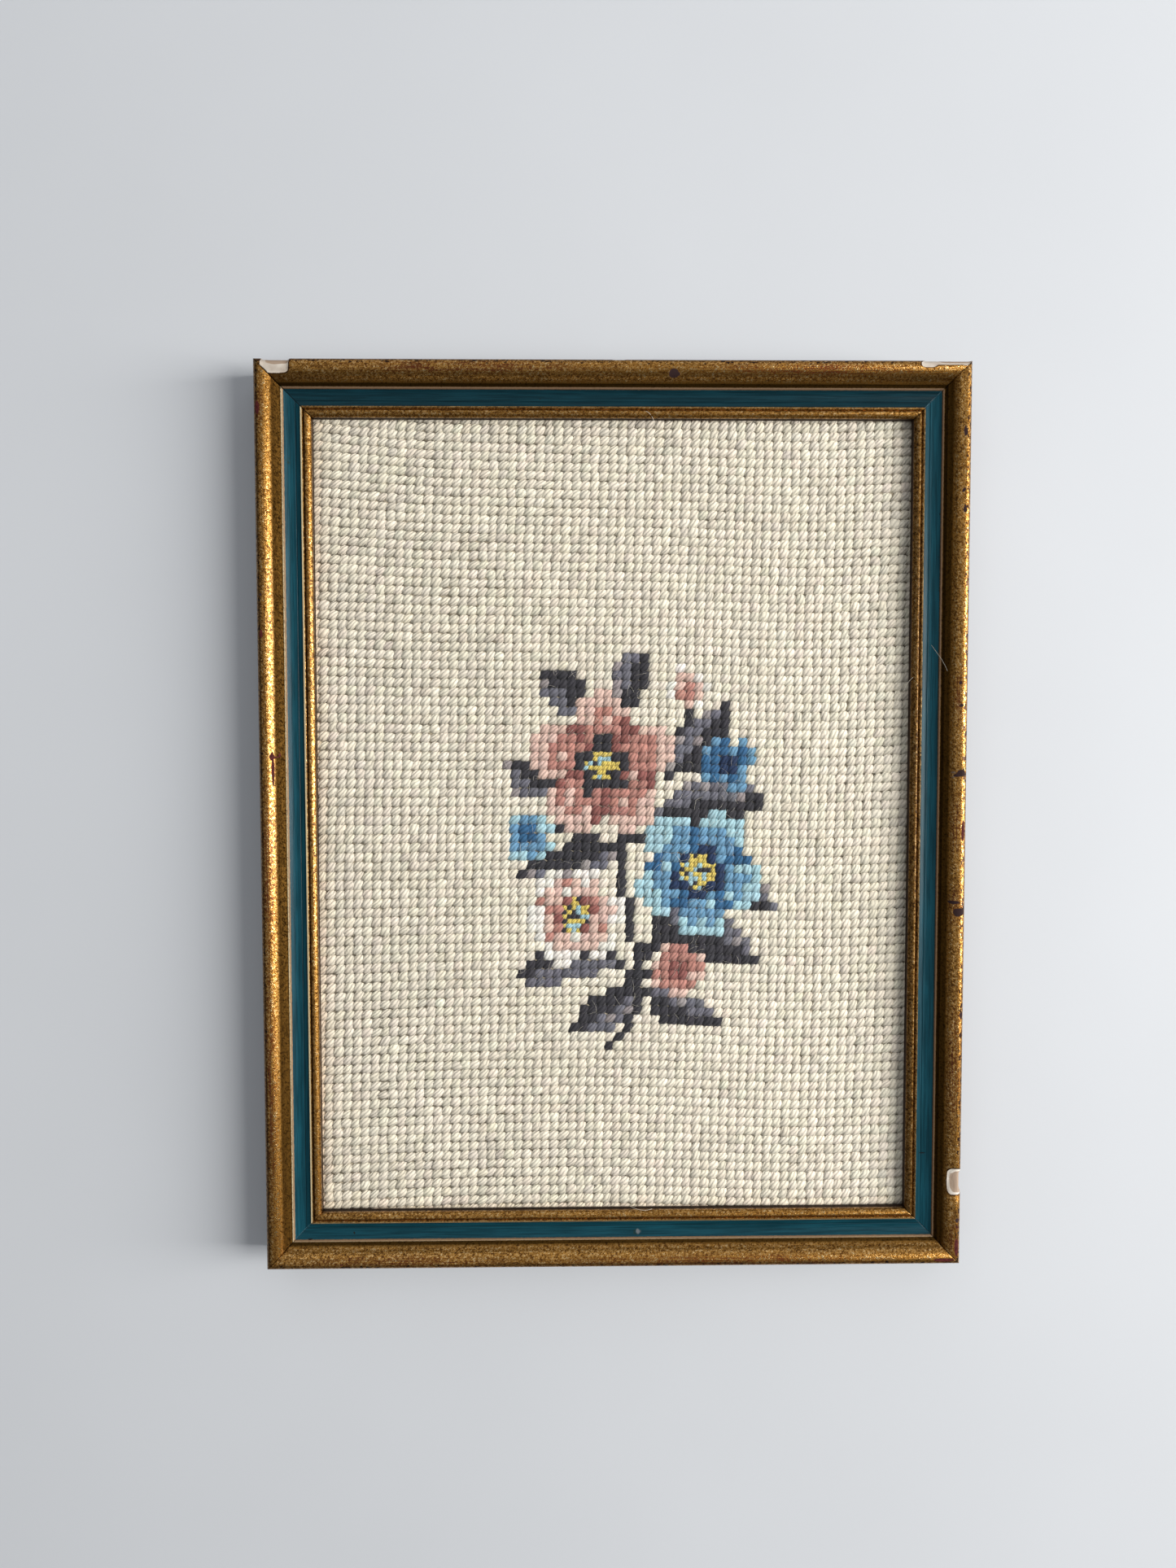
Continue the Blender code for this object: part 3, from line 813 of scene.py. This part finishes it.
# Leaves: foot, tip, half width, bend
LEAVES = (
    ((0.5, 2.5), (14.2, 5.8), 2.5, 1),
    ((2, 8), (9, 16.2), 2.3, -0.8),
    ((-2, 15), (0.5, 22), 2, 0.7),
    ((-7, 14.5), (-11.5, 19), 2, -0.6),
    ((-9, 6), (-15, 9.6), 2.1, 0.7),
    ((-2, 0.5), (-13.6, -2.8), 2.3, 0.9),
    ((1, -8), (13.4, -12.4), 2.5, 1),
    ((-2, -12), (-13.4, -14.6), 2.4, -0.8),
    ((-0.5, -15), (-7.4, -20.4), 2.1, 0.8),
    ((0.5, -15.5), (9.2, -19), 1.9, -0.6),
    ((10, 1.5), (15, -6.5), 1.8, -0.8),
)
STEMS = (
    ((-3.6, -22.5), (5.5, -15), (-5.5, -6), (-0.5, 4)),
    ((0.6, -12), (2.8, -10.5), (3.4, -8), (5.6, -4)),
    ((-0.5, 1), (3.5, 3), (6.5, 5), (9.4, 9.6)),
    ((0.2, -14), (-2, -13.4), (-5, -12), (-7.2, -7.6)),
    ((0.8, -14), (2, -15), (3.6, -15), (4.4, -13.4)),
    ((-3.5, -1), (-6.5, 2.2), (-9.5, 2.4), (-12.4, 1.2)),
    ((1, 8), (4, 11), (5.4, 14), (4.8, 17.6)),
)
DESIGN_MIDDLE = (3.0, -3.0)
# Fall of the stitch rows in degrees, at places across the picture
ROW_SLOPE_PLACES = (-82, -68, -43, -16, 2, 33, 50, 64, 82)
ROW_SLOPES_TOP = (5.2, 4.6, 1.4, 1.2, 0.8, 2.3, 0.0, -2.8, -2.8)
ROW_SLOPES_BOTTOM = (-2.5, -2.5, -1.2, -0.5, 1.4, 3.0, 1.0, -1.2, -2.0)


def blossom(x, y, middle, reach, petals, turn):
    """(inside, depth, fold): petals whose edge is reach * (0.62 + 0.38 * |cos|^0.7) of the angle."""
    away = np.hypot(x - middle[0], y - middle[1])
    angle = np.arctan2(y - middle[1], x - middle[0]) - turn
    petal = np.abs(np.cos(angle * petals / 2))
    edge = reach * (0.62 + 0.38 * petal**0.7)
    return away < edge, away / edge, petal


def leaf(x, y, foot, tip, half_width, bend):
    """(inside, side): a lens whose half width is w * (1 - (2p - 1)^2)^0.8 about a bent midrib."""
    run = np.subtract(tip, foot)
    length = np.hypot(*run)
    ahead = run / length
    part = ((x - foot[0]) * ahead[0] + (y - foot[1]) * ahead[1]) / length
    off = -(x - foot[0]) * ahead[1] + (y - foot[1]) * ahead[0]
    side = off - bend * 4 * part * (1 - part)
    lens = np.clip(1 - (2 * part - 1) ** 2, 0, 1) ** 0.8
    return (part > 0) & (part < 1) & (np.abs(side) < half_width * lens), side / half_width


def stem(x, y, *controls):
    """Distance from a cubic curve, found at sixty places along it."""
    line = cubic_curve(controls, 60)
    return np.hypot(x[..., None] - line[:, 0], y[..., None] - line[:, 1]).min(axis=-1)


def yarn_chart(x, y):
    """(yarn number, petit point) of each stitch of a generic flower spray, in a worker's order."""
    name = {label: number for number, label in enumerate(YARN_NAMES)}
    chart = np.full(x.shape, name["cream"])
    petit = np.zeros(x.shape, bool)
    fleck = np.sin(x * 5.1 + y * 2.3) * np.sin(y * 4.7 - x * 1.9)
    for controls in STEMS:
        chart[stem(x, y, *controls) < 0.55] = name["charcoal"]
    for foot, tip, half_width, bend in LEAVES:
        inside, side = leaf(x, y, foot, tip, half_width, bend)
        chart[inside & (side >= 0.1)] = name["slate"]
        chart[inside & (side < 0.1)] = name["charcoal"]
        chart[inside & (side > 0.1) & (fleck > 0.45)] = name["ash"]
    for middle, reach, petals, turn, (rim, body, fold, heart) in FLORETS + BLOSSOMS:
        inside, depth, petal = blossom(x, y, middle, reach, petals, turn)
        chart[inside] = name[body]
        chart[inside & (depth > 0.78)] = name[rim]
        chart[inside & (petal < 0.34)] = name[fold]
        chart[inside & (depth > 0.5) & (depth < 0.78) & (fleck > 0.5)] = name[rim]
        chart[inside & (depth < 0.42)] = name[heart]
        if reach > 5:
            away = np.hypot(x - middle[0], y - middle[1])
            petit |= away < 1.75
    return chart, petit


def cloth_rise(x, y):
    """The canvas's crown: (1 - x^4)(1 - y^4) times a height with a slow wave, as on the solid."""
    across = np.clip(np.abs(x) / (SIGHT[0] / 2), 0, 1)
    upward = np.clip(np.abs(y) / (SIGHT[1] / 2), 0, 1)
    wave = np.sin(2 * np.pi * (x / SIGHT[0] * 1.5 + 0.1)) * np.sin(4 * np.pi * y / SIGHT[1])
    return (1 - across**4) * (1 - upward**4) * (CLOTH_CROWN + CLOTH_WAVE * wave)


def pulled(x, y):
    """Where a stitch that was charted at x, y lies on the pulled canvas.

    The rows fall at slopes from a table in degrees, one line for the top and one for the bottom, summed
    up along the row. The columns lean by 0.022 of the height with a slow sine on it, and both pitches
    change slowly, as x^3 and y^2.
    """
    fine = np.linspace(-95, 95, 400)
    level = ((y + 50) / 145).clip(0, 1)
    down = 0
    for share, slopes in ((level, ROW_SLOPES_TOP), (1 - level, ROW_SLOPES_BOTTOM)):
        fall = np.tan(np.radians(np.interp(fine, ROW_SLOPE_PLACES, slopes)))
        fallen = np.cumsum(fall) * (fine[1] - fine[0])
        down = down + share * np.interp(x, fine, fallen - fallen[len(fine) // 2])
    over = 0.022 * y + 0.13 * np.sin(2 * np.pi * (y - 75) / 70)
    return x * (0.99 + 0.01 * (x / 82) ** 2) + over, y - 0.00015 * y**2 - down


def yarn_loops(middles, size, lean, colours):
    """(points, faces, attributes) of one plump loop of yarn for each stitch.

    The path climbs as 1 - |out|^3 out of its lower left hole and back into its upper right one. Round
    it goes a ring whose sides swell as |cos|^0.8 and |sin|^0.8. The ring stands askew to the path, so
    that each end of the stitch runs down along the row, and it shrinks towards both ends.
    """
    count = len(middles)
    out = np.sin(np.linspace(-1, 1, 7) * np.pi / 2)
    turn = np.radians([-90, -25, 10, 48, 90, 132, 170, 205])
    steps, sides = len(out), len(turn)
    ring_side = np.sign(np.cos(turn)) * np.abs(np.cos(turn)) ** 0.8
    ring_up = np.sign(np.sin(turn)) * np.abs(np.sin(turn)) ** 0.8
    wide = 1 - 0.38 * out**4
    tall = 1 - 0.58 * np.abs(out) ** 3
    lift = 1 - np.abs(out) ** 3
    slope = -3 * out * np.abs(out)

    def varied(length, spread):
        return length * (1 + rng.normal(0, spread, count))

    half_length = varied((HALF_LENGTH[0] - 0.05 * middles[:, 1] / 100) * size, HALF_LENGTH[1])
    half_width = varied(HALF_WIDTH[0] * size, HALF_WIDTH[1])
    half_height, rise = (varied(usual * size**0.6, spread) for usual, spread in (HALF_HEIGHT, RISE))
    askew = rng.normal(np.radians(-18), 0.08, count)
    ahead = np.stack([np.cos(lean), np.sin(lean)], axis=1)
    beside = np.stack([np.cos(askew), np.sin(askew)], axis=1)
    bow = rng.normal(0, 0.06, count)[:, None] * size * lift
    plane = middles[:, None] + ahead[:, None] * (half_length[:, None] * out)[..., None]
    plane = plane + beside[:, None] * bow[..., None]
    base = STITCH_FOOT + cloth_rise(*middles.T)
    grade = np.arctan2(rise[:, None] * slope, half_length[:, None])
    plump = 0.04 * np.cos(3 * turn[None, None, :] + rng.uniform(0, 6, count)[:, None, None])
    sideways = half_width[:, None, None] * wide[None, :, None] * ring_side * (1 + plump)
    upward = half_height[:, None, None] * tall[None, :, None] * ring_up * (1 + plump)
    back = -upward * np.sin(grade)[..., None]
    points = np.empty((count, steps, sides, 3))
    points[..., :2] = plane[:, :, None] + beside[:, None, None] * sideways[..., None]
    points[..., :2] += ahead[:, None, None] * back[..., None]
    points[..., 2] = (base[:, None] + rise[:, None] * lift)[..., None]
    points[..., 2] += upward * np.cos(grade)[..., None]
    points = points.reshape(-1, 3)
    shape = (count, steps, sides)
    tint = colours * rng.normal(1, 0.06, (count, 1)) * rng.normal(1, 0.010, (count, 3))
    tint = np.concatenate([tint.clip(0.005, 0.95), np.ones((count, 1))], axis=1)
    attributes = {
        "around": np.broadcast_to(np.degrees(turn) / 360 + 0.25, shape).ravel(),
        "lengthwise": np.broadcast_to(out[None, :, None], shape).ravel(),
        "stitch": np.repeat(rng.uniform(0, 1, count), steps * sides),
        "yarn_colour": np.repeat(tint, steps * sides, axis=0),
    }
    return points, tube_faces(points, *shape), attributes


def needlework(wool, canvas):
    """The canvas as a thin closed sheet, and the stitches on it in a few pieces by the part worked."""
    ranges = (np.arange(-most, most + 1) for most in (STITCH_COLUMNS, STITCH_ROWS))
    column, row = (grid.ravel() for grid in np.meshgrid(*ranges))
    chart, petit = yarn_chart(column - DESIGN_MIDDLE[0], row - DESIGN_MIDDLE[1])
    x, y = pulled(column * STITCH_PITCH[0], row * STITCH_PITCH[1])
    edge = SIGHT / 2 + HIDDEN_MARGIN
    kept = (np.abs(x) < edge[0]) & (np.abs(y) < edge[1])
    column, row, chart, petit, x, y = (values[kept] for values in (column, row, chart, petit, x, y))
    lean_at = np.radians(57 + 8 * x / SIGHT[0]) + 0.05 * np.sin(x / 23) + 0.05 * np.cos(y / 31)

    patches = 0
    stains = ((1.0, 0.05, 5, (0.03, 0.03, 0.04)), (0.2, 0.9, 9, (0.015, 0.012, 0.018)))
    for squeeze, scale, seed, strength in stains:
        field = ragged(np.stack([squeeze * x, y, 0 * x], axis=1), scale, seed)
        patches = patches + field[:, None] * np.array(strength)
    yellowed = np.exp(-(x + SIGHT[0] / 2 + 1) / 2.2) + 0.5 * np.exp(-(y + SIGHT[1] / 2 + 1) / 2.0)
    ageing = (1 + patches) * (1 - yellowed.clip(0, 1)[:, None] * np.array([0.10, 0.22, 0.30]))

    def bundle(chosen, size, offsets, yarns, name):
        middles = [np.stack([x[chosen] + dx, y[chosen] + dy], axis=1) for dx, dy in offsets]
        middles = np.concatenate(middles)
        middles = middles + rng.normal(0, 1, middles.shape) * size * (0.07, 0.06)
        lean = np.tile(lean_at[chosen], len(offsets)) + rng.normal(0, 0.08, len(middles))
        aged = YARN_LIGHT[yarns] * np.tile(ageing[chosen], (len(offsets), 1))
        points, blocks, attributes = yarn_loops(middles, size, lean, aged)
        piece = mesh_piece(name, points, blocks, wool, attributes)

    ground = np.flatnonzero((chart == 0) & ~petit)
    ground = ground[np.argsort(row[ground], kind="stable")]
    quarters = enumerate(np.array_split(ground, 4), 1)
    shares = {f"ground_stitches_{number}": quarter for number, quarter in quarters}
    shares["flower_stitches"] = np.flatnonzero((chart > 0) & ~petit)
    for name, share in shares.items():
        bundle(share, 1.0, ((0, 0),), chart[share], name)
    eyes = np.flatnonzero(petit)
    step = STITCH_PITCH[0] / 4
    offsets = ((-step, -step), (step, -step), (-step, step), (step, step))
    bright = ("yellow", "yellow", "aqua", "yellow", "charcoal")
    bright = np.array([YARN_NAMES.index(label) for label in bright])
    small = bright[rng.integers(0, len(bright), len(eyes) * len(offsets))]
    bundle(eyes, SMALL_STITCH, offsets, small, "petit_point_stitches")

    sheet = canvas_sheet(canvas)


def canvas_sheet(finish):
    """A closed grid: its two faces are the cloth's crown at two levels, joined round the edge."""
    counts = (71, 93)
    lines = [np.linspace(-size / 2, size / 2, count) for size, count in zip(CLOTH_SIZE[:2], counts)]
    x, y = np.meshgrid(*lines)
    rise = cloth_rise(x, y)
    top = np.stack([x, y, CANVAS_TOP + rise], axis=2)
    under = np.stack([x, y, CANVAS_UNDERSIDE + rise], axis=2)
    points = np.concatenate([top.reshape(-1, 3), under.reshape(-1, 3)])
    index = np.arange(x.size).reshape(x.shape)
    corners = [index[:-1, :-1], index[:-1, 1:], index[1:, 1:], index[1:, :-1]]
    upper = np.stack(corners, axis=2).reshape(-1, 4)
    lower = upper[:, ::-1] + x.size
    rim = np.concatenate([index[0], index[1:, -1], index[-1, -2::-1], index[-2:0:-1, 0]])
    ahead = np.roll(rim, -1)
    wall = np.stack([rim, rim + x.size, ahead + x.size, ahead], axis=1)
    blocks = outward(points, [upper, lower, wall])
    charted = (np.stack([x.ravel(), y.ravel()]).T / STITCH_PITCH - DESIGN_MIDDLE).T
    chart, _ = yarn_chart(*charted)
    wool = np.concatenate([YARN_LIGHT[chart] * 0.9, np.ones((x.size, 1))], axis=1)
    cotton = np.tile([0.70, 0.60, 0.44, 1.0], (x.size, 1))
    attributes = {"yarn_colour": np.concatenate([cotton, wool])}
    sheet = mesh_piece("stretched_canvas", points, blocks, finish, attributes)
    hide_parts("needlepoint")
    return sheet


# Fibres: four control points, a half thickness and a tone
FIBRES = (
    ((-74.5, -92.8, 10.2), (-70, -92.2, 10.5), (-67, -92.4, 10.5), (-64.8, -94.4, 10), 0.05, 0.35),
    ((-18.5, -85.5, 9.8), (-12, -91.5, 10.5), (-6, -98, 10.3), (1, -106.5, 9.9), 0.05, 0.6),
    ((2.5, -108, 10.4), (5, -109.5, 12.4), (8, -110.2, 13.2), (10.6, -109.4, 12.6), 0.04, 1),
    ((8.6, 111.6, 13), (9.8, 111.2, 13.1), (11, 109.8, 12.2), (11.4, 107.6, 10.2), 0.04, 1),
    ((83, 40, 12.6), (81.6, 39, 12.4), (80.4, 37, 11), (80.2, 34.6, 10.2), 0.04, 1),
    ((87.2, 48.4, 13.2), (88.6, 46, 14.4), (90.4, 43.4, 15), (91.3, 41.2, 14.6), 0.045, 0.55),
)


def loose_fibres(finish):
    """Stray wool fibres: a six-sided tube round each cubic curve, and the short down of the stitches.

    The down is three-sided hairs that arch as 1 - p^2 over the stitches, at chance places and turns.
    """
    strays = np.stack([cubic_curve(fibre[:4], 24) for fibre in FIBRES])
    thick, stray_tones = (np.array([fibre[column] for fibre in FIBRES]) for column in (4, 5))

    foot = rng.uniform(-1, 1, (HAIRS, 2)) * (SIGHT / 2 - 0.6)
    heading = np.radians(60) + rng.normal(0, 0.8, HAIRS)
    reach = rng.uniform(0.8, 2.2, HAIRS)
    curl = rng.normal(0, 0.5, HAIRS)
    part = np.linspace(-1, 1, 5)
    side = curl[:, None] * (1 - part**2)
    ahead = reach[:, None] * part
    x = foot[:, :1] + ahead * np.cos(heading)[:, None] - side * np.sin(heading)[:, None]
    y = foot[:, 1:] + ahead * np.sin(heading)[:, None] + side * np.cos(heading)[:, None]
    arch = rng.uniform(0.05, 0.5, HAIRS)[:, None] * (1 - part**2)
    hairs = np.stack([x, y, CLOTH_TOP - 0.25 + cloth_rise(x, y) + arch], axis=2)

    points, blocks, tones = [], [], []
    kinds = ((strays, thick, 6, stray_tones), (hairs, np.full(HAIRS, HAIR_HALF), 3, 1.15))
    for lines, half, sides, tone in kinds:
        ahead = np.gradient(lines, axis=1)
        ahead /= np.linalg.norm(ahead, axis=2)[..., None]
        beside = np.cross(ahead, (0.0, 0.0, 1.0))
        beside /= np.linalg.norm(beside, axis=2)[..., None]
        above = np.cross(beside, ahead)
        angle = np.linspace(0, 2 * np.pi, sides, endpoint=False)[None, None, :, None]
        ring = beside[:, :, None] * np.cos(angle) + above[:, :, None] * np.sin(angle)
        tubes = (lines[:, :, None] + ring * half[:, None, None, None]).reshape(-1, 3)
        shape = (*lines.shape[:2], sides)
        start = sum(len(made) for made in points)
        points.append(tubes)
        blocks += [block + start for block in tube_faces(tubes, *shape)]
        tones.append(np.broadcast_to(np.reshape(tone, (-1, 1, 1)), shape).ravel())
    attributes = {"tone": np.concatenate(tones)}
    piece = mesh_piece("loose_fibres", np.concatenate(points), blocks, finish, attributes)


def fibre_finish():
    """Pale or brownish wool fibre with a slow change of tone along it."""
    straw = (0.82, 0.77, 0.66)
    f = Finish("stray_fibre", straw, 0.6)
    tone = (0.8 + 0.4 * f.noise(f.place(), 300.0, 2.0)) * f.attribute("tone")
    return f.wear(Base_Color=f.shade(straw, tone))


CAMERA_PLACE = (-12.60, 26.97, 336.93)
CAMERA_TURN = (-2.9409, -0.9430, -0.1348)
CAMERA_LENS = 27.03
FLOOR_REACH, FLOOR_LEVEL = 3, -0.0001
PALE = (0.69, 0.72, 0.76)
# Softboxes: name, place and size in metres, power, colour
SOFTBOXES = (
    ("window", (1.14, 0.02, 0.86), (0.5, 1.35), 26.8, (1.0, 0.975, 0.94)),
    ("ceiling", (0.10, 0.98, 0.85), (1.7, 1.0), 3.0, (0.98, 0.99, 1.0)),
    ("room", (-0.35, 0.10, 1.45), (1.9, 1.5), 2.8, (0.98, 0.99, 1.0)),
)


def camera():
    """The camera at the photographed angle to the picture's face."""
    data = bpy.data.cameras.new("camera")
    data.lens = CAMERA_LENS
    data.sensor_width = 36.0
    data.clip_start = 0.01
    view = bpy.data.objects.new("camera", data)
    view.rotation_mode = "ZYX"
    view.rotation_euler = [math.radians(turn) for turn in CAMERA_TURN]
    view.location = [value * MM for value in CAMERA_PLACE]
    bpy.context.scene.collection.objects.link(view)
    bpy.context.scene.camera = view


def soft_light(name, place, size, power, colour):
    """A rectangular softbox at this place in metres that faces the picture."""
    data = bpy.data.lights.new(name, "AREA")
    data.shape = "RECTANGLE"
    data.size, data.size_y = size
    data.energy = power
    data.color = colour
    lamp = bpy.data.objects.new(name, data)
    lamp.location = place
    aim = -np.array(place) / np.linalg.norm(place)
    lamp.rotation_euler = (math.acos(-aim[2]), 0.0, math.atan2(aim[1], aim[0]) - math.pi / 2)
    bpy.context.scene.collection.objects.link(lamp)


def setting():
    """A pale floor, softboxes and a dim even room."""
    f = Finish("pale_floor", PALE, 0.7)
    tone = 0.96 + 0.08 * f.noise(f.place(), 9.0, 3.0)
    f.wear(Base_Color=f.shade(PALE, tone))
    mesh = bpy.data.meshes.new("floor")
    reach = FLOOR_REACH
    square = ((-reach, -reach), (reach, -reach), (reach, reach), (-reach, reach))
    mesh.from_pydata([(*corner, FLOOR_LEVEL) for corner in square], [], [(0, 1, 2, 3)])
    mesh.materials.append(f.material)
    floor = bpy.data.objects.new("floor", mesh)
    bpy.context.scene.collection.objects.link(floor)
    floor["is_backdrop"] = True
    for softbox in SOFTBOXES:
        soft_light(*softbox)
    world = bpy.data.worlds.new("room")
    bpy.context.scene.world = world
    world.use_nodes = True
    background = world.node_tree.nodes["Background"]
    background.inputs["Color"].default_value = (0.93, 0.95, 1.0, 1.0)
    background.inputs["Strength"].default_value = 0.13
    bpy.context.scene.view_settings.view_transform = "Standard"


def dress():
    """Sets the camera, makes every piece, then the floor and the lights."""
    camera()
    gilding = moulding_finish()
    for quarter_turns, side in enumerate(("bottom", "right", "top", "left")):
        rail(side + "_rail", quarter_turns, gilding)
    needlework(wool_finish(), canvas_finish())
    loose_fibres(fibre_finish())
    setting()


dress()
